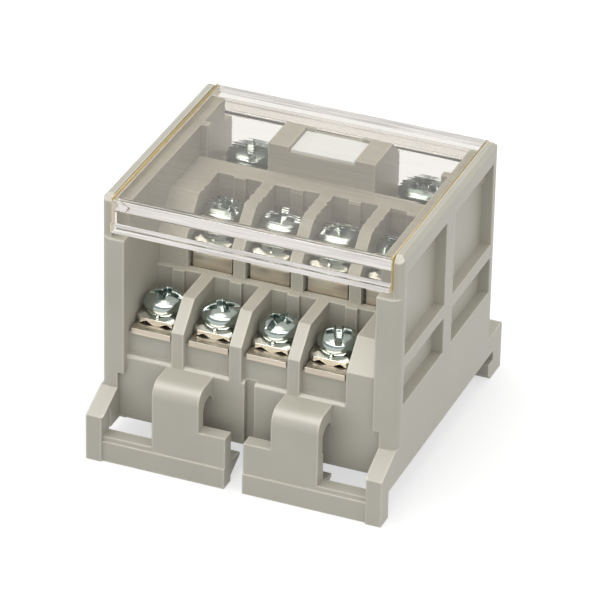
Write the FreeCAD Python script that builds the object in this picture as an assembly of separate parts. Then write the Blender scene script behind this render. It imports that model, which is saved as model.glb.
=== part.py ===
import FreeCAD, Part
import math
import os
from FreeCAD import Vector

# Two-tier barrier terminal block for a 35 mm top-hat rail, with a clear lift-off cover.
# Frame: X along the rail, Y from the latch side (front) to the fixed hook (back), Z up.
# The origin is at the middle of the footprint, at the level of the feet. Units are millimetres.

os.makedirs("parts", exist_ok=True)

# Terminals
pitch = 7.62                  # spacing of the output terminals along a tier
per_tier = 4                  # output terminals in each tier
barrier_width = 1.58
end_wall = 3.1                # thickness of each side wall
tier_stagger = 0.5            # the middle tier sits this share of a pitch to the right

# Rail fit
rail_width = 35.0
flange_thickness = 1.0
rail_slack = 0.15             # play of the rail between hook and latch
hook_height = 2.35            # top of the lip that reaches under the rail flange
hook_slot = 1.3               # height of the slot that takes the flange
hook_lip = 1.6                # reach of the fixed hook under the flange
hook_leg = 2.8                # material behind the slot
hook_top = 6.4
hook_bevel = 0.8
tooth_grip = 1.6              # reach of the latch tooth under the flange
latch_bar_depth = 2.4
latch_gap = 1.25              # room between latch bar and rail edge

# Housing heights above the feet
sill_top = 12.4               # top edge of the lower front wall
sill_bevel = 0.35
plate_top_front = 16.4        # contact surface of the front tier
tier_rise = 7.45
input_rise = 0.9              # the input tabs step up behind the middle tier
barrier_rise = 4.3            # barrier top above its contact surface
barrier_bevel = 3.35          # slanted front corner of each barrier
rim_top = 34.6
ledge_drop = 5.55             # step at the front and back, below the rim

# Housing depths
wall_front_set = 4.43         # wall face behind the front of the feet
wall_back_set = 3.7           # wall face in front of the back of the hook
barrier_set = 0.67            # barrier face behind the wall face
tier_share = 0.308            # one tier's share of the depth behind the sill
shelf_depth = 0.7             # shelf behind each tier's back wall
plate_front_set = 0.6         # plate edge behind the barrier face
seat_front_set = 1.0          # plastic seat under the plate edge
strip_width = 2.7             # strip behind the middle tier
rib_proud = 0.45
rim_set = 0.55                # rim end behind the wall face
rim_bevel = 0.85
rim_width = 1.25
rim_edge = 0.5                # bevel along the outer top edge of the rim
corner_radius = 1.3
floor_thickness = 2.0
bearing_relief = 0.1          # everything beside the bearing face stands this much clear of the rail
bearing_bevel = 0.3           # lower front edge of the sill
skin = 1.8                    # front and back walls of the hollow base
base_rib = 1.4
foot_width = 2.05
foot_top = 6.3
flare_top = 8.2
step_z = 10.4                 # below this the side wall front is only a thin strip
strip_wall = 2.25

# Side pockets
pocket_depth = 1.5
pocket_front_set = 1.85
pocket_back_set = 1.9
pocket_middle = 2.7
pocket_low = 13.7
pocket_split_low = 18.75
pocket_split_high = 20.5
pocket_top_wall = 2.6         # solid wall over the upper pockets

# Spring latches in the lower front
latch_half_gap = 1.2
latch_inner = 4.75            # strap edge nearest the middle
latch_strap = 6.15
latch_sheet = 1.5
latch_band = 2.8              # the bottom band stands slightly proud
latch_band_step = 0.25
latch_front_set = 0.3
latch_thin_top = 3.4
latch_thick_top = 7.0
strap_bend = 1.9
strap_crown = 2.0             # sheet over the arch behind each strap
arch_share = 0.46             # arch radius as a share of its span
centre_groove = 1.3
centre_groove_depth = 0.9

# Contact bars and terminal hardware
bar_sheet = 0.8
finger_width = 5.2
web_top = 20.0
web_gap = 1.2                 # air between the two poles
web_foot = 1.4                # height of the low tongue where the poles interlock
bend_radius = 0.5
slot_clearance = 0.1
pad_drop = 1.2
pad_wall = 0.5             # sheet left around the thread in the drawn pad
thread_gap = 0.05             # radial play of a screw in its tapped pad
well_play = 0.15
well_wall = 0.8
seat_gap = 0.02
screw_radius = 1.45
head_radius = 2.65
head_height = 2.2
screw_length = 6.0
washer_side = 5.7
washer_height = 1.1
washer_rim = 0.75
washer_groove = 0.45
washer_play = 0.17
front_screw_set = 5.0
middle_screw_set = 4.1
input_x = 11.5
input_head_gap = 0.2          # input head, also when it rises, to the cover's rear wall
input_screw_radius = 1.7
input_head_radius = 3.1
input_head_height = 2.3
input_screw_length = 7.0
input_washer_side = 7.2
input_washer_height = 1.1
input_tab_width = 7.6
input_tab_set = 1.2           # back edge of the tab in front of the wall face
slot_width = 0.8
slot_depth_share = 0.35
cross_span_share = 0.55

# Marker carrier and cover
carrier_half = 7.1
carrier_drop = 0.2            # carrier top below the cover's seat
carrier_bevel = 2.3
carrier_gap = 0.15            # carrier back to the cover's lip
card_half = 4.25
card_thickness = 0.45
card_recess = 0.9
card_lip = 0.3
card_play = 0.1
clip_width = 1.3
guide_rib_width = 1.1
guide_rib_proud = 0.9
guide_rib_set = 0.6
cover_sheet = 1.9
cover_sink = 0.35             # cover surface below the rim
cover_side_play = 0.1
cover_set = 0.17              # cover face behind the wall face
cover_bend = 0.5              # outer radius of the cover's long corners
cover_inner_bend = 0.3
cover_seat_gap = 0.05
lip_gap = 0.85
bead_height = 1.4
bead_proud = 0.4
bead_edge = 0.25

# Derived widths
cell_width = pitch - barrier_width
inner_width = (per_tier - 1) * pitch + cell_width + tier_stagger * pitch
inner_x = inner_width / 2
outer_x = inner_x + end_wall

# Derived depths
depth = latch_bar_depth + latch_gap + rail_width + rail_slack + hook_leg
front_y = -depth / 2
back_y = depth / 2
slot_end_y = back_y - hook_leg
rail_front_y = slot_end_y - rail_slack - rail_width
wall_front_y = front_y + wall_front_set
wall_back_y = back_y - wall_back_set
sill_y = wall_front_y + barrier_set
tier_run = (wall_back_y - sill_y) * tier_share
cell_depth = tier_run - shelf_depth
front_back_y = sill_y + cell_depth
middle_y = sill_y + tier_run
middle_back_y = middle_y + cell_depth
strip_back_y = middle_back_y + strip_width
plate_front_y = sill_y + plate_front_set
seat_front_y = sill_y + seat_front_set
riser_y = middle_y + 0.65
trench_front_y = riser_y - slot_clearance
trench_back_y = riser_y + bar_sheet + slot_clearance
base_z = hook_height + hook_slot
clear_z = base_z + bearing_relief
carrier_back_y = wall_back_y - cover_set - cover_sheet - carrier_gap
carrier_flat_y = carrier_back_y - carrier_bevel

# Derived heights
cover_under = rim_top - cover_sink - cover_sheet
cover_seat = cover_under - cover_seat_gap
ledge_z = rim_top - ledge_drop
carrier_top = cover_seat - carrier_drop
pocket_high = rim_top - pocket_top_wall
seat_front_z = plate_top_front - bar_sheet
plate_top_middle = plate_top_front + tier_rise
seat_middle_z = plate_top_middle - bar_sheet
plate_top_input = plate_top_middle + input_rise
seat_input_z = plate_top_input - bar_sheet
front_top = plate_top_front + barrier_rise
middle_top = plate_top_middle + barrier_rise
upper_floor_z = seat_middle_z - floor_thickness
lower_floor_z = seat_front_z - floor_thickness

front_cells = [-inner_x + cell_width / 2 + i * pitch for i in range(per_tier)]
middle_cells = [inner_x - cell_width / 2 - i * pitch for i in range(per_tier)][::-1]
front_barriers = [x + pitch / 2 for x in front_cells]
middle_barriers = [x - pitch / 2 for x in middle_cells]
front_screw_y = sill_y + front_screw_set
middle_screw_y = middle_y + middle_screw_set
input_screw_y = wall_back_y - cover_set - cover_sheet - input_head_gap - input_head_radius


def block(x0, x1, y0, y1, z0, z1):
    return Part.makeBox(x1 - x0, y1 - y0, z1 - z0, Vector(x0, y0, z0))


def rounded_wire(corners):
    """Closed outline through (point, radius) corners, with a tangent arc at each radius over zero."""
    edges = []
    ends = []
    count = len(corners)
    for i in range(count):
        here, radius = corners[i]
        before = corners[i - 1][0]
        after = corners[(i + 1) % count][0]
        if radius <= 0:
            ends.append((here, None, here))
            continue
        back = (before - here).normalize()
        ahead = (after - here).normalize()
        half = back.getAngle(ahead) / 2
        run = radius / math.tan(half)
        start = here + back * run
        end = here + ahead * run
        middle_way = (back + ahead).normalize()
        centre = here + middle_way * (radius / math.sin(half))
        ends.append((start, centre - middle_way * radius, end))
    for i in range(count):
        start, mid, end = ends[i]
        if mid is not None:
            edges.append(Part.Arc(start, mid, end).toShape())
        following = ends[(i + 1) % count][0]
        if (following - end).Length > 1e-6:
            edges.append(Part.LineSegment(end, following).toShape())
    return Part.Wire(edges)


def side_prism(points, x0, x1):
    """Solid with a (y, z) or (y, z, radius) outline, carried from x0 to x1."""
    corners = [(Vector(x0, p[0], p[1]), p[2] if len(p) > 2 else 0) for p in points]
    return Part.Face(rounded_wire(corners)).extrude(Vector(x1 - x0, 0, 0))


def front_prism(points, y0, y1):
    """Solid with an (x, z) or (x, z, radius) outline, carried from y0 to y1."""
    corners = [(Vector(p[0], y0, p[1]), p[2] if len(p) > 2 else 0) for p in points]
    return Part.Face(rounded_wire(corners)).extrude(Vector(0, y1 - y0, 0))


def turned(points, x, y):
    """Solid of revolution of an (r, z) outline about a vertical axis through x, y."""
    corners = [(Vector(x + p[0], y, p[1]), p[2] if len(p) > 2 else 0) for p in points]
    return Part.Face(rounded_wire(corners)).revolve(Vector(x, y, 0), Vector(0, 0, 1), 360)


def post(x, y, z0, z1, radius):
    return Part.makeCylinder(radius, z1 - z0, Vector(x, y, z0))


def mirrored(shape):
    return shape.mirror(Vector(0, 0, 0), Vector(1, 0, 0))


def joined(shapes):
    return shapes[0].fuse(shapes[1:]).removeSplitter()


def both_sides(shape):
    return [shape, mirrored(shape)]


def corner_trim(x, y, inward, radius, z0, z1):
    """Waste outside a vertical rounded corner at x, y; inward is the sign of Y toward the middle."""
    far = y + inward * radius
    waste = block(x - radius, x + 1, min(y - inward, far), max(y - inward, far), z0, z1)
    return waste.cut(post(x - radius, far, z0 - 1, z1 + 1, radius))


# Housing

def side_wall():
    """Right side wall with foot, flare, cover rim, pockets and the end of the fixed hook."""
    rim_front_y = wall_front_y + rim_set
    rim_back_y = wall_back_y - rim_set
    outline = [
        (front_y, 0),
        (front_y + latch_bar_depth, 0),
        (front_y + latch_bar_depth, clear_z),
        (slot_end_y, clear_z),
        (slot_end_y, hook_top),
        (wall_back_y, hook_top),
        (wall_back_y, ledge_z, rim_set / 2),
        (rim_back_y, ledge_z),
        (rim_back_y, rim_top - rim_bevel),
        (rim_back_y - rim_bevel, rim_top),
        (rim_front_y + rim_bevel, rim_top),
        (rim_front_y, rim_top - rim_bevel),
        (rim_front_y, ledge_z),
        (wall_front_y, ledge_z, rim_set / 2),
        (wall_front_y, flare_top),
        (front_y, foot_top),
    ]
    wall = side_prism(outline, inner_x, outer_x)
    rim_x = outer_x - rim_width
    top_bevel = front_prism(
        [(outer_x - rim_edge, rim_top), (outer_x, rim_top), (outer_x, rim_top - rim_edge)],
        front_y, back_y)
    lip_front = wall_front_y + cover_set + cover_sheet + cover_inner_bend
    lip_back = wall_back_y - cover_set - cover_sheet - cover_inner_bend
    cuts = [
        top_bevel,
        corner_trim(outer_x, wall_front_y, 1, corner_radius, flare_top, ledge_z),
        corner_trim(outer_x, wall_back_y, -1, corner_radius, hook_top, ledge_z),
        corner_trim(outer_x, rim_front_y, 1, corner_radius / 2, ledge_z, rim_top + 1),
        corner_trim(outer_x, rim_back_y, -1, corner_radius / 2, ledge_z, rim_top + 1),
        block(inner_x - 1, rim_x, front_y, back_y, cover_seat, rim_top + 1),
        block(inner_x - 1, rim_x, front_y, lip_front, ledge_z, rim_top + 1),
        block(inner_x - 1, rim_x, lip_back, back_y, ledge_z, rim_top + 1),
        block(inner_x - 1, outer_x - foot_width, front_y - 1, front_y + latch_bar_depth, -1, foot_top),
        block(inner_x - 1, outer_x - strip_wall, front_y - 1, sill_y, -1, step_z),
    ]
    first = wall_front_y + pocket_front_set
    last = wall_back_y - pocket_back_set
    width = (last - first - pocket_middle) / 2
    for start in (first, last - width):
        for low, high in ((pocket_low, pocket_split_low), (pocket_split_high, pocket_high)):
            cuts.append(block(outer_x - pocket_depth, outer_x + 1, start, start + width, low, high))
    return wall.cut(cuts)


def stepped_body():
    """Sill, floors, risers and back wall of both tiers in one section between the side walls."""
    section = [
        (sill_y + bearing_bevel, base_z),
        (sill_y, base_z + bearing_bevel),
        (sill_y, sill_top),
        (sill_y + sill_bevel, sill_top + sill_bevel),
        (seat_front_y, sill_top + sill_bevel),
        (seat_front_y, seat_front_z),
        (front_back_y, seat_front_z),
        (front_back_y, front_top),
        (trench_front_y, front_top),
        (trench_front_y, seat_front_z),
        (trench_back_y, seat_front_z),
        (trench_back_y, seat_middle_z),
        (middle_back_y, seat_middle_z),
        (middle_back_y, middle_top),
        (strip_back_y, middle_top),
        (strip_back_y, seat_input_z),
        (wall_back_y, seat_input_z),
        (wall_back_y, clear_z),
        (wall_back_y - skin, clear_z),
        (wall_back_y - skin, upper_floor_z),
        (trench_back_y + floor_thickness, upper_floor_z),
        (trench_back_y + floor_thickness, lower_floor_z),
        (sill_y + skin, lower_floor_z),
        (sill_y + skin, base_z),
    ]
    return side_prism(section, -inner_x, inner_x)


def hidden_ribs():
    """Three ribs inside the hollow base, standing on the rail."""
    section = [
        (sill_y + skin, base_z),
        (sill_y + skin, lower_floor_z),
        (trench_back_y + floor_thickness, lower_floor_z),
        (trench_back_y + floor_thickness, upper_floor_z),
        (wall_back_y - skin, upper_floor_z),
        (wall_back_y - skin, base_z),
    ]
    ribs = []
    for share in (-0.5, 0, 0.5):
        x = share * inner_x
        ribs.append(side_prism(section, x - base_rib / 2, x + base_rib / 2))
    return ribs


def barrier(x0, x1, face_y, foot_z, top_z, end_y):
    """Wall between two cells, upright in front with a slanted upper corner."""
    outline = [
        (face_y, foot_z),
        (face_y, top_z - barrier_bevel),
        (face_y + barrier_bevel, top_z),
        (end_y, top_z),
        (end_y, foot_z),
    ]
    return side_prism(outline, x0, x1)


def barriers():
    half = barrier_width / 2
    shapes = []
    for x in front_barriers[:-1]:
        shapes.append(barrier(x - half, x + half, sill_y, sill_top, front_top, front_back_y))
    shapes.append(barrier(front_barriers[-1] - half, inner_x, sill_y, sill_top, front_top, front_back_y))
    for x in middle_barriers[1:]:
        shapes.append(barrier(x - half, x + half, middle_y, front_top, middle_top, middle_back_y))
    end_x = middle_barriers[0] + half
    shapes.append(barrier(-inner_x, end_x, middle_y, front_top, middle_top, middle_back_y))
    for x in front_cells:
        shapes.append(block(x - half, x + half, front_back_y - rib_proud, front_back_y,
                            plate_top_front + slot_clearance, front_top))
    for x in middle_cells:
        shapes.append(block(x - half, x + half, middle_back_y - rib_proud, middle_back_y,
                            plate_top_middle + slot_clearance, middle_top))
    return shapes


def marker_carrier():
    """Block between the two input cells, with a shallow seat for the marker card."""
    back = carrier_flat_y
    outline = [
        (strip_back_y, upper_floor_z),
        (strip_back_y, carrier_top),
        (carrier_flat_y, carrier_top),
        (carrier_back_y, carrier_top - carrier_bevel),
        (carrier_back_y, upper_floor_z),
    ]
    carrier = side_prism(outline, -carrier_half, carrier_half)
    side = card_half + card_play
    floor = carrier_top - card_recess
    recess = block(-side, side, strip_back_y + card_lip, back + 1, floor, carrier_top + 1)
    lip_low = floor + card_thickness / 2
    lip = block(-side, side, strip_back_y - 1, strip_back_y + card_lip, lip_low, carrier_top + 1)
    clip = block(side - clip_width, side, back - card_lip, back, floor, carrier_top)
    return carrier.cut([recess, lip]).fuse(both_sides(clip))


def guide_ribs():
    """Short upright ribs on the inner faces of the side walls, behind the middle tier."""
    start = strip_back_y + guide_rib_set
    return both_sides(block(inner_x - guide_rib_proud, inner_x, start, start + guide_rib_width,
                            seat_middle_z, cover_seat))


def fixed_hook():
    """Full-width hook that reaches under the back flange of the rail."""
    outline = [
        (slot_end_y - hook_lip, hook_bevel),
        (slot_end_y - hook_lip + hook_bevel, 0),
        (back_y, 0),
        (back_y, hook_top),
        (wall_back_y - skin, hook_top),
        (wall_back_y - skin, clear_z),
        (slot_end_y, clear_z),
        (slot_end_y, hook_height),
        (slot_end_y - hook_lip, hook_height),
    ]
    return side_prism(outline, -outer_x, outer_x)


def spring_latch():
    """Right spring latch: foot bar, finger pad, strap that curls back to the sill, and tooth."""
    face = front_y + latch_front_set
    rear = front_y + latch_bar_depth
    strap_outer = latch_inner + latch_strap
    foot_x = outer_x - foot_width
    band = block(latch_half_gap, foot_x, face, rear, 0, latch_band)
    bar = block(latch_half_gap, foot_x, face + latch_band_step, rear, latch_band, latch_thin_top)
    pad = block(latch_half_gap, strap_outer, face + latch_band_step, rear, latch_thin_top, latch_thick_top)
    strap_face = face + latch_band_step
    strap_back = strap_face + latch_sheet
    root_y = sill_y + skin / 2
    arch_top = sill_top - strap_crown
    arch_radius = (sill_y - strap_back) * arch_share
    outline = [
        (strap_face, latch_thin_top),
        (strap_face, sill_top, strap_bend),
        (root_y, sill_top),
        (root_y, latch_thick_top),
        (sill_y, latch_thick_top),
        (sill_y, latch_thin_top),
    ]
    arch = [
        (strap_back, latch_thin_top - 1),
        (strap_back, arch_top, arch_radius),
        (sill_y, arch_top, arch_radius),
        (sill_y, latch_thin_top - 1),
    ]
    under_strap = side_prism(arch, latch_inner - 1, strap_outer + 1)
    strap = side_prism(outline, latch_inner, strap_outer).cut(under_strap)
    grip_top = base_z - flange_thickness
    tooth = side_prism([
        (rear, hook_bevel),
        (rail_front_y + tooth_grip, grip_top - slot_clearance - hook_bevel / 2),
        (rail_front_y + tooth_grip, grip_top - slot_clearance),
        (rear, grip_top + slot_clearance),
    ], latch_half_gap, strap_outer)
    return joined([band, bar, pad, strap, tooth])


def terminals():
    """Centre, seat height and sizes of every terminal, front to back and left to right."""
    small = (screw_radius, head_radius, head_height, screw_length, washer_side, washer_height)
    large = (input_screw_radius, input_head_radius, input_head_height, input_screw_length,
             input_washer_side, input_washer_height)
    places = []
    for i, x in enumerate(front_cells):
        places.append(("front_%d" % (i + 1), x, front_screw_y, plate_top_front, small))
    for i, x in enumerate(middle_cells):
        places.append(("middle_%d" % (i + 1), x, middle_screw_y, plate_top_middle, small))
    for name, x in (("input_left", -input_x), ("input_right", input_x)):
        places.append((name, x, input_screw_y, plate_top_input, large))
    return places


def square_post(x, y, z0, z1, half):
    return block(x - half, x + half, y - half, y + half, z0, z1)


def well_half(radius):
    return radius + thread_gap + pad_wall + well_play


def screw_wells():
    """Square blind wells under the terminals: outer bosses and the holes in them."""
    bosses = []
    holes = []
    for name, x, y, plate_z, sizes in terminals():
        half = well_half(sizes[0])
        bottom = plate_z + sizes[5] - sizes[3] - well_play
        bosses.append(square_post(x, y, bottom - well_wall, plate_z - bar_sheet, half + well_wall))
        holes.append(square_post(x, y, bottom, plate_z - bar_sheet / 2, half))
    return bosses, holes


def bar_slots():
    """Passages for the contact bars through the walls behind both tiers, and for their risers."""
    cuts = []
    half = finger_width / 2 + slot_clearance
    section = [
        (trench_front_y, seat_front_z),
        (trench_front_y, seat_middle_z),
        (trench_back_y + bend_radius, seat_middle_z),
        (trench_back_y, seat_middle_z - bend_radius),
        (trench_back_y, seat_front_z),
    ]
    wide = max(half, well_half(screw_radius) + well_wall)
    for x in middle_cells:
        cuts.append(side_prism(section, x - wide, x + wide))
    slot_top = plate_top_front + slot_clearance
    passage = [
        (front_back_y - rib_proud, seat_front_z),
        (front_back_y - rib_proud, slot_top),
        (trench_front_y - bend_radius, slot_top),
        (trench_front_y, slot_top + bend_radius),
        (trench_front_y, seat_front_z),
    ]
    for x in front_cells:
        cuts.append(side_prism(passage, x - half, x + half))
    for x0, x1 in link_spans():
        cuts.append(block(x0 - slot_clearance, x1 + slot_clearance, middle_back_y - rib_proud, strip_back_y,
                          seat_middle_z, plate_top_input + slot_clearance))
    return cuts


def build_housing():
    wells, holes = screw_wells()
    pieces = both_sides(side_wall())
    pieces += [stepped_body(), marker_carrier(), fixed_hook()]
    pieces += hidden_ribs() + barriers() + guide_ribs() + wells
    pieces += both_sides(spring_latch())
    housing = joined(pieces)
    groove = block(-centre_groove / 2, centre_groove / 2, sill_y - 1, sill_y + centre_groove_depth,
                   base_z - 1, sill_top + sill_bevel)
    return housing.cut(bar_slots() + holes + [groove]).removeSplitter()


# Contact bars

def link_spans():
    """Ends along X of the strip that ties the middle fingers of each pole to its input tab."""
    half = finger_width / 2
    tab = input_tab_width / 2
    count = per_tier // 2
    left = middle_cells[:count]
    right = middle_cells[count:]
    return [
        (min(left[0] - half, -input_x - tab), left[-1] + half),
        (right[0] - half, max(right[-1] + half, input_x + tab)),
    ]


def folded_finger(x):
    """Riser and middle finger of one terminal, folded from one strip."""
    inside = bend_radius
    outside = bend_radius + bar_sheet
    back = riser_y + bar_sheet
    outline = [
        (riser_y, seat_front_z),
        (riser_y, plate_top_middle, outside),
        (middle_back_y + slot_clearance * 2, plate_top_middle),
        (middle_back_y + slot_clearance * 2, seat_middle_z),
        (back, seat_middle_z, inside),
        (back, seat_front_z),
    ]
    return side_prism(outline, x - finger_width / 2, x + finger_width / 2)


def front_finger(x):
    """Front plate of one terminal, folded up into the web."""
    inside = bend_radius
    outside = bend_radius + bar_sheet
    outline = [
        (plate_front_y, seat_front_z),
        (riser_y + bar_sheet, seat_front_z, outside),
        (riser_y + bar_sheet, seat_front_z + web_foot + bar_sheet),
        (riser_y, seat_front_z + web_foot + bar_sheet),
        (riser_y, plate_top_front, inside),
        (plate_front_y, plate_top_front),
    ]
    return side_prism(outline, x - finger_width / 2, x + finger_width / 2)


def tapped_pad(x, y, plate_z, radius):
    """Square pad drawn down under a tapped hole, and the hole itself."""
    bottom = plate_z - bar_sheet - pad_drop
    bore = radius + thread_gap
    pad = square_post(x, y, bottom, plate_z - bar_sheet / 2, bore + pad_wall)
    return pad, post(x, y, bottom - 1, plate_z + 1, bore)


def contact_bar(side):
    """One pole, left (0) or right (1): two front plates, two middle plates and an input tab."""
    count = per_tier // 2
    half = finger_width / 2
    fronts = front_cells[side * count:(side + 1) * count]
    middles = middle_cells[side * count:(side + 1) * count]
    link = link_spans()[side]
    low = seat_front_z + web_foot + bar_sheet + web_gap
    pieces = [front_finger(x) for x in fronts]
    for x in middles:
        finger = folded_finger(x)
        near = riser_y - 1
        far = riser_y + bar_sheet + 1
        below = block(x - finger_width, x + finger_width, near, far, seat_front_z - 1, low)
        pieces.append(finger.cut(below))
    tongue_top = seat_front_z + web_foot + bar_sheet
    if side == 0:
        web = (fronts[0] - half, front_cells[count] - half - web_gap)
    else:
        web = (middle_cells[count - 1] + half + web_gap, middles[-1] + half)
    lower = (min(web[0], fronts[0] - half), web[1])
    pieces.append(block(web[0], web[1], riser_y, riser_y + bar_sheet, tongue_top - bar_sheet, web_top))
    pieces.append(block(lower[0], lower[1], riser_y, riser_y + bar_sheet, tongue_top - bar_sheet, tongue_top))
    step_y = middle_back_y + slot_clearance
    pieces.append(block(link[0], link[1], step_y, step_y + bar_sheet, seat_middle_z, plate_top_input))
    shelf_y = strip_back_y - slot_clearance
    pieces.append(block(link[0], link[1], step_y, shelf_y, seat_input_z, plate_top_input))
    centre = -input_x if side == 0 else input_x
    tab = input_tab_width / 2
    pieces.append(block(centre - tab, centre + tab, step_y, wall_back_y - input_tab_set,
                        seat_input_z, plate_top_input))
    holes = []
    for name, x, y, plate_z, sizes in terminals():
        belongs = x in fronts or x in middles or x == centre
        if belongs:
            pad, hole = tapped_pad(x, y, plate_z, sizes[0])
            pieces.append(pad)
            holes.append(hole)
    return joined(pieces).cut(holes).removeSplitter()


# Terminal hardware

def clamp_washer(x, y, plate_z, sizes):
    """Square clamping washer: crowned on top, with two grooves along its underside."""
    radius, head, head_rise, length, side, height = sizes
    half = side / 2
    base = plate_z + seat_gap
    share = half / 2.85
    top = base + height
    edge = base + washer_rim
    crown = head * 0.72
    outline = [
        (x - half, base),
        (x - 2.3 * share, base),
        (x - 1.35 * share, base + washer_groove),
        (x - 0.4 * share, base),
        (x + 0.4 * share, base),
        (x + 1.35 * share, base + washer_groove),
        (x + 2.3 * share, base),
        (x + half, base),
        (x + half, edge),
        (x + crown, top),
        (x - crown, top),
        (x - half, edge),
    ]
    body = front_prism(outline, y - half, y + half)
    tips = side_prism([
        (y - half, base - 1),
        (y - half, edge),
        (y - crown, top),
        (y + crown, top),
        (y + half, edge),
        (y + half, base - 1),
    ], x - half, x + half)
    cut = side / 8
    plan = [(-half + cut, -half), (half - cut, -half), (half, -half + cut), (half, half - cut),
            (half - cut, half), (-half + cut, half), (-half, half - cut), (-half, -half + cut)]
    corners = Part.Face(rounded_wire([(Vector(x + p[0], y + p[1], base - 1), 0) for p in plan]))
    corners = corners.extrude(Vector(0, 0, height + 2))
    return body.common(tips).common(corners).cut(post(x, y, base - 1, top + 1, radius + washer_play))


def pan_screw(x, y, plate_z, sizes, turn):
    """Pan-head screw with a slot and a deeper cross arm, turned by an angle in degrees."""
    radius, head, rise, length, side, height = sizes
    under = plate_z + height + seat_gap * 2
    top = under + rise
    tip = under - length
    outline = [
        (0, tip),
        (radius, tip),
        (radius, under),
        (head, under),
        (head, under + rise * 0.58),
        (head * 0.6, top),
        (0, top),
    ]
    screw = turned(outline, x, y)
    depth_cut = rise * slot_depth_share
    slot = block(x - head - 1, x + head + 1, y - slot_width / 2, y + slot_width / 2, top - depth_cut, top + 1)
    span = head * cross_span_share
    wing = [
        (y - span, top + 0.1),
        (y + span, top + 0.1),
        (y + span * 0.45, top - rise * 0.75),
        (y - span * 0.45, top - rise * 0.75),
    ]
    cutter = slot.fuse(side_prism(wing, x - slot_width * 0.55, x + slot_width * 0.55))
    cutter.rotate(Vector(x, y, 0), Vector(0, 0, 1), turn)
    return screw.cut(cutter)


# Marker card and cover

def marker_card():
    floor = carrier_top - card_recess
    front = strip_back_y + card_lip + card_play
    back = carrier_flat_y - card_lip - card_play
    return block(-card_half, card_half, front, back, floor, floor + card_thickness)


def clear_cover():
    """Clear cover, a U-shaped section with rounded bends and a thick bead along each free edge."""
    half = outer_x - rim_width - cover_side_play
    front = wall_front_y + cover_set
    back = wall_back_y - cover_set
    under = cover_under
    top = under + cover_sheet
    low = ledge_z + lip_gap
    outline = [
        (front, low + bead_height),
        (front, top, cover_bend),
        (back, top, cover_bend),
        (back, low + bead_height),
        (back + bead_proud, low + bead_height - bead_proud),
        (back + bead_proud, low, bead_edge),
        (back - cover_sheet, low, bead_edge),
        (back - cover_sheet, under, cover_inner_bend),
        (front + cover_sheet, under, cover_inner_bend),
        (front + cover_sheet, low, bead_edge),
        (front - bead_proud, low, bead_edge),
        (front - bead_proud, low + bead_height - bead_proud),
    ]
    return side_prism(outline, -half, half)


def export(shape, name):
    solids = shape.Solids
    result = solids[0] if len(solids) == 1 else shape
    result.exportStep("parts/" + name + ".step")
    print(name, len(solids), "solid", round(shape.Volume, 2), "mm3", shape.isValid())


def main():
    export(build_housing(), "housing")
    export(clear_cover(), "cover")
    export(marker_card(), "marker_card")
    export(contact_bar(0), "contact_bar_left")
    export(contact_bar(1), "contact_bar_right")
    turn_step = 37.0
    for i, (name, x, y, plate_z, sizes) in enumerate(terminals()):
        export(clamp_washer(x, y, plate_z, sizes), "washer_" + name)
        export(pan_screw(x, y, plate_z, sizes, i * turn_step), "screw_" + name)
    print("width", round(2 * outer_x, 2), "depth", round(depth, 2))


main()
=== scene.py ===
import math

import bmesh
import bpy
import numpy as np
from mathutils import Matrix, Vector


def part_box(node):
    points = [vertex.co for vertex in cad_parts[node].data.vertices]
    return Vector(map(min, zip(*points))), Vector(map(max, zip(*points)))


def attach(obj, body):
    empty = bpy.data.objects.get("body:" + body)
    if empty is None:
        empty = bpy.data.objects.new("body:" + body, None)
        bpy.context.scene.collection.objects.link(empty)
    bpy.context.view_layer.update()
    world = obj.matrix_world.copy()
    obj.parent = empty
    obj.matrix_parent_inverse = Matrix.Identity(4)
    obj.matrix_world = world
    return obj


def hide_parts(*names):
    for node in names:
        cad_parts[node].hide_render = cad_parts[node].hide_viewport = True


bl_info = {
    "name": "Rail Terminal Block",
    "version": (1, 0, 0),
    "blender": (4, 5, 0),
    "location": "View3D > Sidebar > Terminal Block",
    "description": "Dresses a two-tier barrier terminal block with moulded, plated and clear finishes",
    "category": "Object",
}

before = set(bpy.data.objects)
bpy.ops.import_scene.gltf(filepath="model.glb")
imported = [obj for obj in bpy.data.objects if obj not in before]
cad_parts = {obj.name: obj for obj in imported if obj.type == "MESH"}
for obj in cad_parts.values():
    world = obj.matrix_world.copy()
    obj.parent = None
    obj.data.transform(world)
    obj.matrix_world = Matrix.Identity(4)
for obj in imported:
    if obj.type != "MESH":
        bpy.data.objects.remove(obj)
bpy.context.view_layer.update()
MM = 0.001
HARDWARE = sorted(name[len("screw_"):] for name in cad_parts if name.startswith("screw_"))


# Shared helpers

def linear(colour_hex):
    """sRGB hex to linear RGBA: ((s + 0.055) / 1.055) ** 2.4 above 0.04045, and s / 12.92 below it."""
    digits = colour_hex.lstrip("#")
    srgb = np.array([int(digits[i:i + 2], 16) for i in (0, 2, 4)]) / 255
    low = srgb / 12.92
    high = ((srgb + 0.055) / 1.055) ** 2.4
    return (*[float(value) for value in np.where(srgb <= 0.04045, low, high)], 1.0)


def add(tree, kind, settings=None, links=None):
    """Adds one node, sets its properties and sockets, and links the given outputs to its inputs."""
    node = tree.nodes.new(kind)
    for name, value in (settings or {}).items():
        if isinstance(name, int) or name in node.inputs:
            node.inputs[name].default_value = value
        else:
            setattr(node, name, value)
    for name, source in (links or {}).items():
        tree.links.new(source, node.inputs[name])
    return node


def blank_material(name):
    material = bpy.data.materials.new(name)
    material.use_nodes = True
    tree = material.node_tree
    tree.nodes.clear()
    output = add(tree, "ShaderNodeOutputMaterial")
    return material, tree, output


def dress(node_name, material):
    """Gives a CAD node its material in every slot."""
    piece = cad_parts[node_name]
    if not piece.data.materials:
        piece.data.materials.append(material)
    for place in piece.material_slots:
        place.material = material
    return piece


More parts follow.
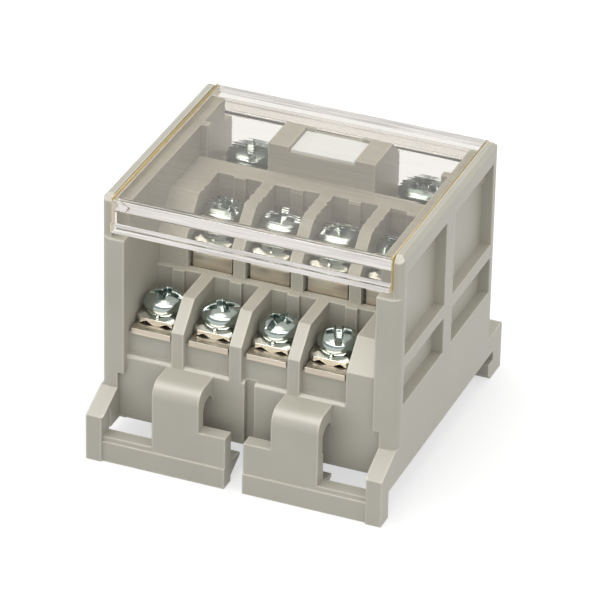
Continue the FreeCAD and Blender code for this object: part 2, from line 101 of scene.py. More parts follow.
def grid_faces(rows, columns):
    """Quads of a grid that closes round in its second direction: (i, j), (i, j+1), (i+1, j+1), (i+1, j)."""
    i, j = np.meshgrid(np.arange(rows - 1), np.arange(columns), indexing="ij")
    right = (j + 1) % columns
    quads = np.stack([i * columns + j, (i + 1) * columns + j, (i + 1) * columns + right, i * columns + right], -1)
    return quads.reshape(-1, 4)


def surface_object(name, points, quads, material):
    """Mesh object from an array of points in metres and an array of quads, shaded smooth.

    Rings of no size are merged into one pole, so each shell is closed, and its faces point outwards."""
    mesh = bpy.data.meshes.new(name)
    mesh.vertices.add(len(points))
    mesh.vertices.foreach_set("co", points.astype(np.float32).ravel())
    mesh.loops.add(quads.size)
    mesh.loops.foreach_set("vertex_index", quads.astype(np.int32).ravel())
    mesh.polygons.add(len(quads))
    mesh.polygons.foreach_set("loop_start", np.arange(0, quads.size, 4, dtype=np.int32))
    mesh.update(calc_edges=True)
    shell = bmesh.new()
    shell.from_mesh(mesh)
    bmesh.ops.remove_doubles(shell, verts=shell.verts, dist=0.0001 * MM)
    bmesh.ops.recalc_face_normals(shell, faces=shell.faces)
    shell.to_mesh(mesh)
    shell.free()
    mesh.polygons.foreach_set("use_smooth", np.ones(len(mesh.polygons), bool))
    mesh.materials.append(material)
    piece = bpy.data.objects.new(name, mesh)
    bpy.context.scene.collection.objects.link(piece)
    return piece


# Settings

class HousingSettings(bpy.types.PropertyGroup):
    shade: bpy.props.StringProperty(
        name="Plastic colour", description="sRGB hex colour of the moulded housing", default="#AFACA0")
    roughness: bpy.props.FloatProperty(
        name="Roughness", description="Roughness of the moulded skin", default=0.42, min=0, max=1)
    edge_round: bpy.props.FloatProperty(
        name="Edge rounding", description="Radius of the moulded edges", default=0.2 * MM, unit="LENGTH")
    texture_step: bpy.props.FloatProperty(
        name="Texture step", description="Spacing of the spark-eroded mould texture", default=0.12 * MM,
        unit="LENGTH")


class CoverSettings(bpy.types.PropertyGroup):
    sheet_tint: bpy.props.StringProperty(
        name="Sheet tint", description="sRGB hex colour that the clear sheet gives what is behind it",
        default="#F1EEE8")
    # Painted light: the amber of the sheet's ends stands for light that has come along the sheet.
    painted_end_glow_tint: bpy.props.StringProperty(
        name="Edge tint", description="sRGB hex colour that the clear sheet shows at its sawn ends",
        default="#CDB472")
    end_depth: bpy.props.FloatProperty(
        name="End depth", description="Depth of the tinted band at each end", default=0.12 * MM, unit="LENGTH")
    # Painted light: the sheet glows in this colour where light is caught inside it.
    caught_light: bpy.props.StringProperty(
        name="Caught light", description="sRGB hex colour of light that has run along inside the sheet",
        default="#F4F1EF")
    haze: bpy.props.FloatProperty(
        name="Haze", description="Share of light that the sheet's skin scatters", default=0.012, min=0, max=1)


class MetalSettings(bpy.types.PropertyGroup):
    zinc: bpy.props.StringProperty(
        name="Zinc colour", description="sRGB hex colour of the zinc-plated screws", default="#ABB5B0")
    # Painted shade: a darker copy of the zinc colour for the larger screws.
    shaded_zinc: bpy.props.StringProperty(
        name="Shaded zinc colour", description="sRGB hex colour of the larger screws", default="#8B9692")
    washer: bpy.props.StringProperty(
        name="Washer colour", description="sRGB hex colour of the clamp washers", default="#D6D4CA")
    bar: bpy.props.StringProperty(
        name="Bar colour", description="sRGB hex colour of the plated contact bars", default="#E0D4C2")
    screw_columns: bpy.props.IntProperty(
        name="Head columns", description="Divisions round a screw head", default=192, min=48, max=360)
    thread_columns: bpy.props.IntProperty(
        name="Thread columns", description="Divisions round a screw thread", default=48, min=24, max=120)


class StageSettings(bpy.types.PropertyGroup):
    world_level: bpy.props.FloatProperty(
        name="World level", description="Strength of the studio light at eye height", default=1.38, min=0, max=4)
    roof_level: bpy.props.FloatProperty(
        name="Roof level", description="Strength of the studio light overhead", default=0.78, min=0, max=4)
    box_level: bpy.props.FloatProperty(
        name="Soft box level", description="Strength of the soft box that bare metal mirrors", default=9.5,
        min=0, max=20)
    veil_level: bpy.props.FloatProperty(
        name="Veil level", description="Room brightness that the cover mirrors", default=0.45, min=0, max=5)
    key_level: bpy.props.FloatProperty(
        name="Key level", description="Power of the large soft box overhead", default=2.5, min=0, max=20,
        unit="POWER")
    card_shade: bpy.props.StringProperty(
        name="Card colour", description="sRGB hex colour of the marker card", default="#F0F4F7")


# Materials

def moulded_plastic(settings):
    """Injection-moulded, flame-retardant polyamide blend, warm light grey, from a spark-eroded tool.

    The eye sees a dull satin skin, slightly uneven in tone, with soft outer edges made paler as a painted
    highlight, and a very fine grain."""
    material, tree, output = blank_material("Moulded Polyamide Grey")
    place = add(tree, "ShaderNodeTexCoord")
    # Flow of the melt leaves clouds of about 9 mm, a few percent darker or lighter.
    cloud = add(tree, "ShaderNodeTexNoise", {"Scale": 1 / (9 * MM), "Detail": 2.0, "Roughness": 0.5},
                {"Vector": place.outputs["Object"]})
    base = np.array(linear(settings.shade))
    tone = add(tree, "ShaderNodeValToRGB", links={"Fac": cloud.outputs["Fac"]})
    tone.color_ramp.elements[0].position = 0.3
    tone.color_ramp.elements[0].color = (*(base[:3] * 0.955), 1)
    tone.color_ramp.elements[1].position = 0.7
    tone.color_ramp.elements[1].color = (*np.minimum(base[:3] * 1.03, 1), 1)
    grain = add(tree, "ShaderNodeTexNoise", {"Scale": 1 / settings.texture_step, "Detail": 1.0, "Roughness": 0.5},
                {"Vector": place.outputs["Object"]})
    shine = add(tree, "ShaderNodeMapRange",
                {"To Min": settings.roughness - 0.05, "To Max": settings.roughness + 0.06},
                {"Value": cloud.outputs["Fac"]})
    # Outer edges carry a painted highlight: their colour is made paler, up to 1.4 times the plastic's. Short rays
    # inside the solid find them, because there they meet the next face.
    corner = add(tree, "ShaderNodeAmbientOcclusion",
                 {"samples": 8, "inside": True, "only_local": True, "Distance": settings.edge_round * 1.2})
    painted_highlight_mask = add(tree, "ShaderNodeMapRange", {"From Min": 0.95, "From Max": 0.55, "To Min": 0.0, "To Max": 1.0},
              {"Value": corner.outputs["AO"]})
    # Painted highlight: the paler colour on outer edges.
    pale = add(tree, "ShaderNodeMix", {"data_type": "RGBA", 7: (*np.minimum(base[:3] * 1.4, 1), 1)},
               {"Factor": painted_highlight_mask.outputs["Result"], 6: tone.outputs["Color"]})
    soft_edge = add(tree, "ShaderNodeBevel", {"samples": 6, "Radius": settings.edge_round})
    skin = add(tree, "ShaderNodeBump", {"Strength": 0.12, "Distance": 0.01 * MM},
               {"Height": grain.outputs["Fac"], "Normal": soft_edge.outputs["Normal"]})
    shader = add(tree, "ShaderNodeBsdfPrincipled", {"IOR": 1.53, "Specular IOR Level": 0.45},
                 {"Base Color": pale.outputs[2], "Roughness": shine.outputs["Result"],
                  "Normal": skin.outputs["Normal"]})
    tree.links.new(shader.outputs["BSDF"], output.inputs["Surface"])
    return material


def clear_polycarbonate(settings, half_length):
    """Extruded clear polycarbonate sheet, IOR 1.585, bent warm and sawn to length.

    Clear from the front with a faint cream haze. Its bends and bead are bright partly from a painted glow of
    caught light, and its sawn ends are painted with the yellow cast of the light that has come along the sheet."""
    material, tree, output = blank_material("Clear Polycarbonate")
    place = add(tree, "ShaderNodeTexCoord")
    across = add(tree, "ShaderNodeSeparateXYZ", links={"Vector": place.outputs["Object"]})
    out = add(tree, "ShaderNodeMath", {"operation": "ABSOLUTE"}, {0: across.outputs["X"]})
    # Painted light: towards each end the sheet takes the amber tint and up to 0.6 of a milky skin, for the light
    # that has come along the sheet.
    end = add(tree, "ShaderNodeMapRange",
              {"From Min": half_length - settings.end_depth, "From Max": half_length - settings.end_depth * 0.3},
              {"Value": out.outputs["Value"]})
    tint = add(tree, "ShaderNodeMix",
               {"data_type": "RGBA", 6: linear(settings.sheet_tint), 7: linear(settings.painted_end_glow_tint)},
               {"Factor": end.outputs["Result"]})
    # Die lines run the length of the extrusion, along X. Only a few micrometres deep, they don't show by
    # themselves, but they break up what is seen through the sheet.
    run = add(tree, "ShaderNodeMapping", {"Scale": (0.03, 1, 1)}, {"Vector": place.outputs["Object"]})
    lines = add(tree, "ShaderNodeTexNoise", {"Scale": 1 / (0.7 * MM), "Detail": 1.0},
                {"Vector": run.outputs["Vector"]})
    drawn = add(tree, "ShaderNodeBump", {"Strength": 1.0, "Distance": 0.014 * MM},
                {"Height": lines.outputs["Fac"]})
    clear = add(tree, "ShaderNodeBsdfPrincipled", {"IOR": 1.585, "Roughness": 0.0, "Transmission Weight": 1.0},
                {"Base Color": tint.outputs[2], "Normal": drawn.outputs["Normal"]})
    skin = add(tree, "ShaderNodeBsdfPrincipled", {"IOR": 1.585, "Roughness": 0.3}, {"Base Color": tint.outputs[2]})
    cloud = add(tree, "ShaderNodeMapRange", {"To Min": settings.haze, "To Max": 0.6},
                {"Value": end.outputs["Result"]})
    sheet = add(tree, "ShaderNodeMixShader", links={
        0: cloud.outputs["Result"], 1: clear.outputs["BSDF"], 2: skin.outputs["BSDF"]})
    ray = add(tree, "ShaderNodeLightPath")
    open_way = add(tree, "ShaderNodeBsdfTransparent", {"Color": (0.985, 0.98, 0.965, 1)})
    clear_way = add(tree, "ShaderNodeMixShader", links={
        0: ray.outputs["Is Shadow Ray"], 1: sheet.outputs["Shader"], 2: open_way.outputs["BSDF"]})
    # Light caught in the sheet runs along it to the far end and the white room. After the first reflection inside
    # the sheet, or two in all, the sheet glows with painted light in the caught-light colour. That glow stands for
    # the room's light for the rest of the way.
    twice = add(tree, "ShaderNodeMath", {"operation": "GREATER_THAN", 1: 1.5}, {0: ray.outputs["Glossy Depth"]})
    within = add(tree, "ShaderNodeMath", {"operation": "COMPARE", 1: 1.0, 2: 0.5},
                 {0: ray.outputs["Transmission Depth"]})
    guided = add(tree, "ShaderNodeMath", {"operation": "MULTIPLY"},
                 {0: ray.outputs["Is Reflection Ray"], 1: within.outputs["Value"]})
    caught = add(tree, "ShaderNodeMath", {"operation": "MAXIMUM"},
                 {0: twice.outputs["Value"], 1: guided.outputs["Value"]})
    seen_only = add(tree, "ShaderNodeMath", {"operation": "LESS_THAN", 1: 0.5}, {0: ray.outputs["Diffuse Depth"]})
    far_end = add(tree, "ShaderNodeMath", {"operation": "MULTIPLY"},
                  {0: caught.outputs["Value"], 1: seen_only.outputs["Value"]})
    # Finer die lines leave streaks in that painted glow.
    fine = add(tree, "ShaderNodeTexNoise", {"Scale": 1 / (0.3 * MM), "Detail": 2.0},
               {"Vector": run.outputs["Vector"]})
    streak = add(tree, "ShaderNodeMapRange", {"From Min": 0.35, "From Max": 0.65, "To Min": 0.66, "To Max": 1.1},
                 {"Value": fine.outputs["Fac"]})
    room = add(tree, "ShaderNodeEmission", {"Color": linear(settings.caught_light)},
               {"Strength": streak.outputs["Result"]})
    both = add(tree, "ShaderNodeMixShader", links={
        0: far_end.outputs["Value"], 1: clear_way.outputs["Shader"], 2: room.outputs["Emission"]})
    tree.links.new(both.outputs["Shader"], output.inputs["Surface"])
    return material


def painted_end_glow(settings):
    """Rough sawn edge of the sheet, with painted light: its amber colour stands for the light that comes along the
    sheet and leaves here.
    """
    material, tree, output = blank_material("Polycarbonate End Glow Painted")
    place = add(tree, "ShaderNodeTexCoord")
    scratch = add(tree, "ShaderNodeTexNoise", {"Scale": 1 / (0.6 * MM), "Detail": 3.0},
                  {"Vector": place.outputs["Object"]})
    base = np.array(linear(settings.painted_end_glow_tint))
    tone = add(tree, "ShaderNodeMix", {"data_type": "RGBA", 6: (*(base[:3] * 0.8), 1), 7: tuple(base)},
               {"Factor": scratch.outputs["Fac"]})
    shader = add(tree, "ShaderNodeBsdfPrincipled", {"Roughness": 0.35, "IOR": 1.585},
                 {"Base Color": tone.outputs[2]})
    tree.links.new(shader.outputs["BSDF"], output.inputs["Surface"])
    return material


def coated_card(settings):
    """Cut card with a matt coating: flat, cool white, with a faint fibre unevenness."""
    material, tree, output = blank_material("Coated Card White")
    place = add(tree, "ShaderNodeTexCoord")
    fibre = add(tree, "ShaderNodeTexNoise", {"Scale": 1 / (0.25 * MM), "Detail": 3.0},
                {"Vector": place.outputs["Object"]})
    base = np.array(linear(settings.card_shade))
    tone = add(tree, "ShaderNodeMix", {"data_type": "RGBA", 6: (*(base[:3] * 0.98), 1), 7: tuple(base)},
               {"Factor": fibre.outputs["Fac"]})
    lift = add(tree, "ShaderNodeBump", {"Strength": 0.1, "Distance": 0.01 * MM}, {"Height": fibre.outputs["Fac"]})
    shader = add(tree, "ShaderNodeBsdfPrincipled", {"Roughness": 0.6, "IOR": 1.5},
                 {"Base Color": tone.outputs[2], "Normal": lift.outputs["Normal"]})
    tree.links.new(shader.outputs["BSDF"], output.inputs["Surface"])
    return material


def plated_metal(name, shade, roughness, stretch, mark_size, mark_depth, darkest=0.86):
    """Plated metal: full metallic, with marks of the given size, stretched along one direction by the factors.

    The marks darken the plating down to the darkest share of its colour, dull it unevenly and dent it slightly."""
    material, tree, output = blank_material(name)
    place = add(tree, "ShaderNodeTexCoord")
    turn = add(tree, "ShaderNodeMapping", {"Scale": stretch}, {"Vector": place.outputs["Object"]})
    marks = add(tree, "ShaderNodeTexNoise", {"Scale": 1 / mark_size, "Detail": 3.0, "Roughness": 0.6},
                {"Vector": turn.outputs["Vector"]})
    base = np.array(linear(shade))
    tone = add(tree, "ShaderNodeMix", {"data_type": "RGBA", 6: (*(base[:3] * darkest), 1),
                                       7: (*np.minimum(base[:3] * 1.08, 1), 1)},
               {"Factor": marks.outputs["Fac"]})
    dull = add(tree, "ShaderNodeMapRange", {"To Min": roughness * 0.75, "To Max": roughness * 1.35},
               {"Value": marks.outputs["Fac"]})
    # A blanked or headed part has its edges broken by tumbling.
    soft_edge = add(tree, "ShaderNodeBevel", {"samples": 6, "Radius": 0.07 * MM})
    relief = add(tree, "ShaderNodeBump", {"Strength": 0.5, "Distance": mark_depth},
                 {"Height": marks.outputs["Fac"], "Normal": soft_edge.outputs["Normal"]})
    shader = add(tree, "ShaderNodeBsdfPrincipled", {"Metallic": 1.0},
                 {"Base Color": tone.outputs[2], "Roughness": dull.outputs["Result"],
                  "Normal": relief.outputs["Normal"]})
    tree.links.new(shader.outputs["BSDF"], output.inputs["Surface"])
    return material


# Screws

def head_profile(radius, height, steps):
    """Radius and height along a pan head, from the crown to the seat.

    Over the widest level W the outline is a squared-off ellipse, (r / R) ** 2.5 + ((z - W) / (H - W)) ** 2 = 1.
    Under it the flank draws in like a barrel, r = R (1 - 0.12 (1 - z / W) ** 2)."""
    widest = 0.42 * height
    split = int(steps * 0.75)
    bend = np.linspace(0, np.pi / 2, split)
    r_top = radius * np.sin(bend) ** 0.8
    z_top = widest + (height - widest) * np.cos(bend)
    fall = np.linspace(0, 1, steps - split + 1)[1:]
    r_foot = radius * (1 - 0.12 * fall ** 2)
    z_foot = widest * (1 - fall)
    return np.concatenate([r_top, r_foot]), np.concatenate([z_top, z_foot])


def recess_floor(x, y, radius, height):
    """Height of the recess floor under x, y: the lower of a through slot and a tapering cross.

    Each wall rises eight times as fast as it goes outward; the cross gets shallower away from the middle."""
    slot_half = 0.4 * MM
    steep = 8.0
    slot = height * 0.66 + steep * np.maximum(np.abs(y) - slot_half, 0)
    reach = radius * 0.55
    wing_half = 0.4 * MM
    taper = height * 0.3 + 0.75 * np.maximum(np.hypot(x, y) - 0.3 * radius, 0)
    long_way = taper + steep * np.maximum(np.abs(y) - wing_half, 0) + steep * np.maximum(np.abs(x) - reach, 0)
    short_way = taper + steep * np.maximum(np.abs(x) - wing_half, 0) + steep * np.maximum(np.abs(y) - reach, 0)
    return np.minimum(slot, np.minimum(long_way, short_way))


def screw_surface(centre, seat_z, head_radius, head_height, shank_radius, length, pitch, turn, columns,
                  thread_columns):
    """Points and quads of one screw: a head with a recess over a threaded shank.

    Head point = (r cos a, r sin a, min(z, floor(x, y))). Thread point = (r cos a, r sin a, z) with
    r = R - depth * |2 frac(z / pitch - a / 2 pi) - 1|."""
    a = np.linspace(0, 2 * np.pi, columns, endpoint=False)
    r, z = head_profile(head_radius, head_height, 84)
    r[0] = 0
    x = r[:, None] * np.cos(a)
    y = r[:, None] * np.sin(a)
    floor = recess_floor(x, y, head_radius, head_height)
    top = np.minimum(z[:, None] + 0 * x, np.maximum(floor, 0))
    under = np.array([[shank_radius * 0.97], [0]])
    x = np.vstack([x, under * np.cos(a)])
    y = np.vstack([y, under * np.sin(a)])
    top = np.vstack([top, np.zeros((2, columns))])
    head = np.stack([x, y, top], -1).reshape(-1, 3)
    head_quads = grid_faces(len(x), columns)
    b = np.linspace(0, 2 * np.pi, thread_columns, endpoint=False)
    rows = int(length / pitch * 8)
    down = np.linspace(0.01 * MM, -length, rows)[:, None]
    wave = np.abs(2 * np.mod(down / pitch - b / (2 * np.pi), 1) - 1)
    fade = np.clip((length + down) / (1.2 * pitch), 0, 1)
    depth = 0.2 * shank_radius
    rr = (shank_radius - depth * wave) * (0.72 + 0.28 * fade)
    shank = np.stack([rr * np.cos(b), rr * np.sin(b), down + 0 * rr], -1)
    caps = np.zeros((2, thread_columns, 3))
    caps[..., 2] = down[[0, -1]]
    shank = np.concatenate([caps[:1], shank, caps[1:]]).reshape(-1, 3)
    shank_quads = grid_faces(rows + 2, thread_columns) + len(head)
    points = np.concatenate([head, shank])
    spin = np.array([[np.cos(turn), np.sin(turn), 0], [-np.sin(turn), np.cos(turn), 0], [0, 0, 1]])
    return points @ spin + np.array([*centre, seat_z]), np.concatenate([head_quads, shank_quads])


# Operators

class TERMINAL_OT_housing(bpy.types.Operator):
    """Give the moulded housing its plastic"""
    bl_idname = "terminal_block.housing"
    bl_label = "Housing"

    def execute(self, context):
        dress("housing", moulded_plastic(context.scene.terminal_housing))
        return {"FINISHED"}


class TERMINAL_OT_cover(bpy.types.Operator):
    """Make the cover clear, with tinted ends"""
    bl_idname = "terminal_block.cover"
    bl_label = "Clear cover"

    def execute(self, context):
        low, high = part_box("cover")
        dress("cover", clear_polycarbonate(context.scene.terminal_cover, high.x))
        # A fine raised ridge along both ends of the sheet carries the painted amber of the light that comes along
        # the sheet and leaves there.
        amber = painted_end_glow(context.scene.terminal_cover)
        wide, proud, sunk, bend = 0.16 * MM, 0.3 * MM, 0.1 * MM, 0.6 * MM
        for name, x0, x1 in (("left", low.x, low.x + wide), ("right", high.x - wide, high.x)):
            points, quads = ridge_surface((x0, low.y + bend, high.z - sunk),
                                          (x1, high.y - 2 * bend, high.z + proud), 32)
            edge = surface_object("painted_end_glow_" + name, points, quads, amber)
            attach(edge, "cover")
        return {"FINISHED"}


class TERMINAL_OT_card(bpy.types.Operator):
    """Give the marker card its coated paper"""
    bl_idname = "terminal_block.card"
    bl_label = "Marker card"

    def execute(self, context):
        dress("marker_card", coated_card(context.scene.terminal_stage))
        return {"FINISHED"}


class TERMINAL_OT_bars(bpy.types.Operator):
    """Plate the two contact bars"""
    bl_idname = "terminal_block.bars"
    bl_label = "Contact bars"

    def execute(self, context):
        metals = context.scene.terminal_metals
        # Tin over brass strip: rolled, so it shows fine lines along X and a warm, half-dull shine. The lines
        # darken the colour down to half: real rolling marks, deepened into a painted reflection of dark things
        # around the bars.
        rolled = plated_metal("Tinned Brass Strip", metals.bar, 0.32, (0.04, 1, 1), 0.3 * MM, 0.02 * MM, 0.5)
        for name in ("contact_bar_left", "contact_bar_right"):
            dress(name, rolled)
        return {"FINISHED"}


def ridge_surface(low, high, columns):
    """Points and quads of a ridge along Y between two corners.

    Its section is a squared-off ellipse, (x / A) ** 4 + (z / B) ** 4 = 1, closed by a flat face at each end."""
    a = np.linspace(0, 2 * np.pi, columns, endpoint=False)
    middle, half = (np.array(low) + high) / 2, (np.array(high) - low) / 2
    ends = np.array([[0, -1], [1, -1], [1, 1], [0, 1]])
    x = ends[:, :1] * np.sign(np.cos(a)) * np.abs(np.cos(a)) ** 0.5
    z = ends[:, :1] * np.sign(np.sin(a)) * np.abs(np.sin(a)) ** 0.5
    ridge = np.stack([x, ends[:, 1:] + 0 * x, z], -1).reshape(-1, 3)
    return ridge * half + middle, grid_faces(len(ends), columns)


def lug_surface(centre, radius, columns):
    """Points and quads of a small dome: (r sin u cos a, r sin u sin a, r cos u) for u from 0 to 110 degrees.

    A flat disc closes it below."""
    u = np.radians(np.linspace(0, 110, 12))[:, None]
    across = np.vstack([np.sin(u), [[0]]])
    up = np.vstack([np.cos(u), np.cos(u[-1:])])
    a = np.linspace(0, 2 * np.pi, columns, endpoint=False)
    dome = np.stack([across * np.cos(a), across * np.sin(a), up + 0 * a], -1).reshape(-1, 3)
    return dome * radius + np.array(centre), grid_faces(len(up), columns)


class TERMINAL_OT_washers(bpy.types.Operator):
    """Plate the clamp washers and add the pressed lugs that keep them under the heads"""
    bl_idname = "terminal_block.washers"
    bl_label = "Clamp washers"

    def execute(self, context):
        metals = context.scene.terminal_metals
        # Pressed steel with bright zinc: smooth, with slight waves from the press.
        pressed = plated_metal("Zinc Pressed Steel", metals.washer, 0.2, (1, 1, 1), 0.8 * MM, 0.02 * MM)
        for name in HARDWARE:
            dress("washer_" + name, pressed)
            low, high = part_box("washer_" + name)
            middle = (low + high) / 2
            reach = (high.y - low.y) * 0.41
            for side in (-1, 1):
                points, quads = lug_surface((middle.x, middle.y + side * reach, high.z - 0.25 * MM), 0.34 * MM, 24)
                place = "_front" if side < 0 else "_back"
                lug = surface_object("pressed_lug_" + name + place, points, quads, pressed)
                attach(lug, "washer_" + name)
        return {"FINISHED"}


class TERMINAL_OT_screws(bpy.types.Operator):
    """Replace the plain screws by threaded ones with a slot and cross recess"""
    bl_idname = "terminal_block.screws"
    bl_label = "Screws"

    def execute(self, context):
        metals = context.scene.terminal_metals
        # Cold-headed steel with bright zinc and clear chromate: glossy, with a faint green-blue cast.
        zinc = plated_metal("Zinc Headed Steel", metals.zinc, 0.18, (1, 1, 1), 0.45 * MM, 0.02 * MM)
        # The larger screws get a darker copy of the zinc as painted shade, with a finer, rougher deposit.
        shaded_zinc = plated_metal("Zinc Headed Steel Shaded", metals.shaded_zinc, 0.2, (1, 1, 1), 0.4 * MM, 0.04 * MM)
        # Tightened screws stop at no set angle, so each recess stands 37 degrees on from the last.
        rows = ["front_1", "front_2", "front_3", "front_4", "middle_1", "middle_2", "middle_3", "middle_4",
                "input_left", "input_right"]
        turns = {name: 37 * i for i, name in enumerate(rows)}
        for name in HARDWARE:
            low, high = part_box("screw_" + name)
            large = name.startswith("input")
            head_radius = (high.x - low.x) / 2
            head_height = (2.3 if large else 2.2) * MM
            shank_radius = (1.7 if large else 1.45) * MM
            pitch = (0.6 if large else 0.5) * MM
            seat = high.z - head_height
            centre = ((low.x + high.x) / 2, (low.y + high.y) / 2)
            points, quads = screw_surface(
                centre, seat, head_radius, head_height, shank_radius, seat - low.z, pitch,
                math.radians(turns[name]), metals.screw_columns, metals.thread_columns)
            piece = surface_object("headed_screw_" + name, points, quads, shaded_zinc if large else zinc)
            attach(piece, "screw_" + name)
            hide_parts("screw_" + name)
        return {"FINISHED"}


class TERMINAL_OT_stage(bpy.types.Operator):
    """Make the white floor, the soft light and the camera"""
    bl_idname = "terminal_block.stage"
    bl_label = "Stage"

    def execute(self, context):
        stage = context.scene.terminal_stage
        scene = context.scene
        world = bpy.data.worlds.new("Studio")
        scene.world = world
        world.use_nodes = True
        tree = world.node_tree
        tree.nodes.clear()
        # A light tent: bright all round at eye height, weaker overhead, white where it is seen directly.
        heading = add(tree, "ShaderNodeTexCoord")
        parts = add(tree, "ShaderNodeSeparateXYZ", links={"Vector": heading.outputs["Generated"]})
        tent = add(tree, "ShaderNodeMapRange",
                   {"From Min": 0.15, "From Max": 0.95, "To Min": stage.world_level, "To Max": stage.roof_level},
                   {"Value": parts.outputs["Z"]})
        # What bare metal mirrors: pale walls low down, a dark gap, and a long soft box high over the front, as
        # (height of the direction, share of the box's level).
        bands = add(tree, "ShaderNodeValToRGB", links={"Fac": parts.outputs["Z"]})
        places = ((0.0, 0.16), (0.1, 0.15), (0.22, 0.06), (0.62, 0.05), (0.8, 1.0), (0.93, 1.0), (0.98, 0.08))
        while len(bands.color_ramp.elements) < len(places):
            bands.color_ramp.elements.new(0.5)
        for element, (place, shade) in zip(bands.color_ramp.elements, places):
            element.position = place
            element.color = (shade, shade, shade, 1)
        ahead = add(tree, "ShaderNodeMapRange",
                    {"From Min": -0.5, "From Max": 0.45, "To Min": stage.box_level,
                     "To Max": stage.box_level * 0.06},
                    {"Value": parts.outputs["Y"]})
        studio = add(tree, "ShaderNodeMath", {"operation": "MULTIPLY"},
                     {0: bands.outputs["Color"], 1: ahead.outputs["Result"]})
        # A mirrored ray that crossed the cover not at all, or both ways, came off metal; two crossings or an odd
        # number belong to light guided inside the sheet, which ends in the white room.
        seen = add(tree, "ShaderNodeLightPath")
        bare = add(tree, "ShaderNodeMath", {"operation": "MAXIMUM"},
                   {0: seen.outputs["Is Camera Ray"], 1: seen.outputs["Is Transmission Ray"]})
        looking = add(tree, "ShaderNodeMath", {"operation": "MAXIMUM"},
                      {0: bare.outputs["Value"], 1: seen.outputs["Is Glossy Ray"]})
        undimmed = add(tree, "ShaderNodeMath", {"operation": "LESS_THAN", 1: 0.5},
                       {0: seen.outputs["Diffuse Depth"]})
        direct = add(tree, "ShaderNodeMath", {"operation": "MULTIPLY"},
                     {0: looking.outputs["Value"], 1: undimmed.outputs["Value"]})
        mirrored = add(tree, "ShaderNodeMath", {"operation": "GREATER_THAN", 1: 0.5},
                       {0: seen.outputs["Glossy Depth"]})
        offset = add(tree, "ShaderNodeMath", {"operation": "SUBTRACT", 1: 2.0},
                     {0: seen.outputs["Transmission Depth"]})
        apart = add(tree, "ShaderNodeMath", {"operation": "ABSOLUTE"}, {0: offset.outputs["Value"]})
        clean = add(tree, "ShaderNodeMath", {"operation": "GREATER_THAN", 1: 1.5}, {0: apart.outputs["Value"]})
        metal = add(tree, "ShaderNodeMath", {"operation": "MULTIPLY"},
                    {0: mirrored.outputs["Value"], 1: clean.outputs["Value"]})
        dull = add(tree, "ShaderNodeMix", {"data_type": "FLOAT", 2: 1.0},
                   {0: metal.outputs["Value"], 3: studio.outputs["Value"]})
        # The cover's polished face mirrors the pale room behind, as a thin veil over what lies under it.
        outside = add(tree, "ShaderNodeMath", {"operation": "LESS_THAN", 1: 0.5},
                      {0: seen.outputs["Transmission Depth"]})
        polished = add(tree, "ShaderNodeMath", {"operation": "MULTIPLY"},
                       {0: seen.outputs["Is Singular Ray"], 1: outside.outputs["Value"]})
        veil = add(tree, "ShaderNodeMath", {"operation": "MULTIPLY"},
                   {0: polished.outputs["Value"], 1: mirrored.outputs["Value"]})
        shine = add(tree, "ShaderNodeMix", {"data_type": "FLOAT", 3: stage.veil_level},
                    {0: veil.outputs["Value"], 2: dull.outputs[0]})
        level = add(tree, "ShaderNodeMix", {"data_type": "FLOAT"},
                    {0: direct.outputs["Value"], 2: tent.outputs["Result"], 3: shine.outputs[0]})
        light = add(tree, "ShaderNodeBackground", {"Color": (1, 1, 1, 1)}, {"Strength": level.outputs[0]})
        output = add(tree, "ShaderNodeOutputWorld")
        tree.links.new(light.outputs["Background"], output.inputs["Surface"])

        half = 1.5   # metres of floor on each side
        floor_mesh = bpy.data.meshes.new("Floor")
        floor_mesh.from_pydata([(-half, -half, 0), (half, -half, 0), (half, half, 0), (-half, half, 0)], [],
                               [(0, 1, 2, 3)])
        floor = bpy.data.objects.new("Floor", floor_mesh)
        scene.collection.objects.link(floor)
        material, tree, output = blank_material("White Paper Sweep")
        # Part of the paper's white comes from the lamps and takes the object's shadow; the rest is its own where
        # it is looked at, so that the open floor is white without more light on the object.
        lit_share = 0.38
        paper = add(tree, "ShaderNodeBsdfDiffuse", {"Color": (lit_share, lit_share, lit_share, 1)})
        seen = add(tree, "ShaderNodeLightPath")
        first = add(tree, "ShaderNodeMath", {"operation": "MAXIMUM"},
                    {0: seen.outputs["Is Camera Ray"], 1: seen.outputs["Is Glossy Ray"]})
        shown = add(tree, "ShaderNodeMath", {"operation": "MAXIMUM"},
                    {0: first.outputs["Value"], 1: seen.outputs["Is Transmission Ray"]})
        direct = add(tree, "ShaderNodeMath", {"operation": "LESS_THAN", 1: 0.5},
                     {0: seen.outputs["Diffuse Depth"]})
        plain = add(tree, "ShaderNodeMath", {"operation": "MULTIPLY"},
                    {0: shown.outputs["Value"], 1: direct.outputs["Value"]})
        lift = add(tree, "ShaderNodeMath", {"operation": "MULTIPLY", 1: 1 - lit_share},
                   {0: plain.outputs["Value"]})
        glow = add(tree, "ShaderNodeEmission", {"Color": (1, 1, 1, 1)}, {"Strength": lift.outputs["Value"]})
        both = add(tree, "ShaderNodeAddShader", links={0: paper.outputs["BSDF"], 1: glow.outputs["Emission"]})
        tree.links.new(both.outputs["Shader"], output.inputs["Surface"])
        floor_mesh.materials.append(material)

        for name, spot, size, power in (
            ("Key", (-0.1, -0.12, 0.8), 0.5, stage.key_level),
            ("Fill", (0.55, -0.3, 0.5), 0.3, stage.key_level * 0.1),
        ):
            data = bpy.data.lights.new(name, "AREA")
            data.shape = "SQUARE"
            data.size = size
            data.energy = power
            lamp = bpy.data.objects.new(name, data)
            lamp.location = spot
            aim = Vector((0, 0, 0.015)) - Vector(spot)
            lamp.rotation_euler = aim.to_track_quat("-Z", "Y").to_euler()
            scene.collection.objects.link(lamp)

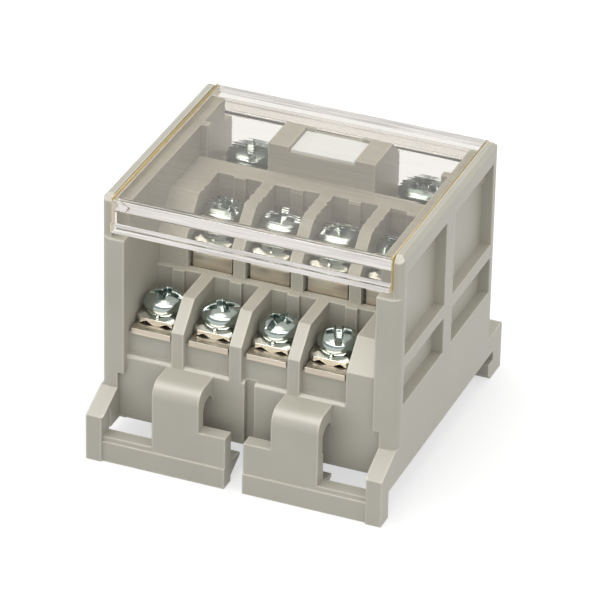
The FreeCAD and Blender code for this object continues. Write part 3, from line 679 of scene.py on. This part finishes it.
        # The camera of the photograph, fitted to the straight edges of the block.
        azimuth, elevation, roll = (math.radians(value) for value in (21.64, 30.21, 1.21))
        distance = 603 * MM
        target = Vector((0, 0.37, 15.85)) * MM
        image_pixels, focal_pixels, sensor_width = 600, 4882, 36
        back = Vector((math.sin(azimuth) * math.cos(elevation), -math.cos(azimuth) * math.cos(elevation),
                       math.sin(elevation)))
        right = Vector((math.cos(azimuth), math.sin(azimuth), 0))
        up = back.cross(right)
        side = right * math.cos(roll) + up * math.sin(roll)
        rise = up * math.cos(roll) - right * math.sin(roll)
        data = bpy.data.cameras.new("Camera")
        data.sensor_width = sensor_width
        data.lens = focal_pixels / image_pixels * sensor_width
        data.clip_start = 0.05
        data.clip_end = 10
        camera = bpy.data.objects.new("Camera", data)
        turn = Matrix((side, rise, back)).transposed().to_4x4()
        camera.matrix_world = Matrix.Translation(target + back * distance) @ turn
        scene.collection.objects.link(camera)
        scene.camera = camera
        scene.view_settings.view_transform = "Standard"
        return {"FINISHED"}


class TERMINAL_PT_panel(bpy.types.Panel):
    bl_label = "Terminal Block"
    bl_idname = "TERMINAL_PT_panel"
    bl_space_type = "VIEW_3D"
    bl_region_type = "UI"
    bl_category = "Terminal Block"

    def draw(self, context):
        scene = context.scene
        for group in ("terminal_housing", "terminal_cover", "terminal_metals", "terminal_stage"):
            settings = getattr(scene, group)
            box = self.layout.box()
            for name in settings.__annotations__:
                box.prop(settings, name)
        for operator in OPERATORS:
            self.layout.operator(operator.bl_idname)


OPERATORS = [TERMINAL_OT_stage, TERMINAL_OT_housing, TERMINAL_OT_cover, TERMINAL_OT_card, TERMINAL_OT_bars,
             TERMINAL_OT_washers, TERMINAL_OT_screws]
GROUPS = {"terminal_housing": HousingSettings, "terminal_cover": CoverSettings, "terminal_metals": MetalSettings,
          "terminal_stage": StageSettings}


def register():
    for group in GROUPS.values():
        bpy.utils.register_class(group)
    for name, group in GROUPS.items():
        setattr(bpy.types.Scene, name, bpy.props.PointerProperty(type=group))
    for operator in OPERATORS:
        bpy.utils.register_class(operator)
    bpy.utils.register_class(TERMINAL_PT_panel)


def unregister():
    bpy.utils.unregister_class(TERMINAL_PT_panel)
    for operator in reversed(OPERATORS):
        bpy.utils.unregister_class(operator)
    for name in GROUPS:
        delattr(bpy.types.Scene, name)
    for group in reversed(list(GROUPS.values())):
        bpy.utils.unregister_class(group)


def main():
    register()
    bpy.ops.terminal_block.stage()
    bpy.ops.terminal_block.housing()
    bpy.ops.terminal_block.cover()
    bpy.ops.terminal_block.card()
    bpy.ops.terminal_block.bars()
    bpy.ops.terminal_block.washers()
    bpy.ops.terminal_block.screws()


if __name__ == "__main__":
    main()
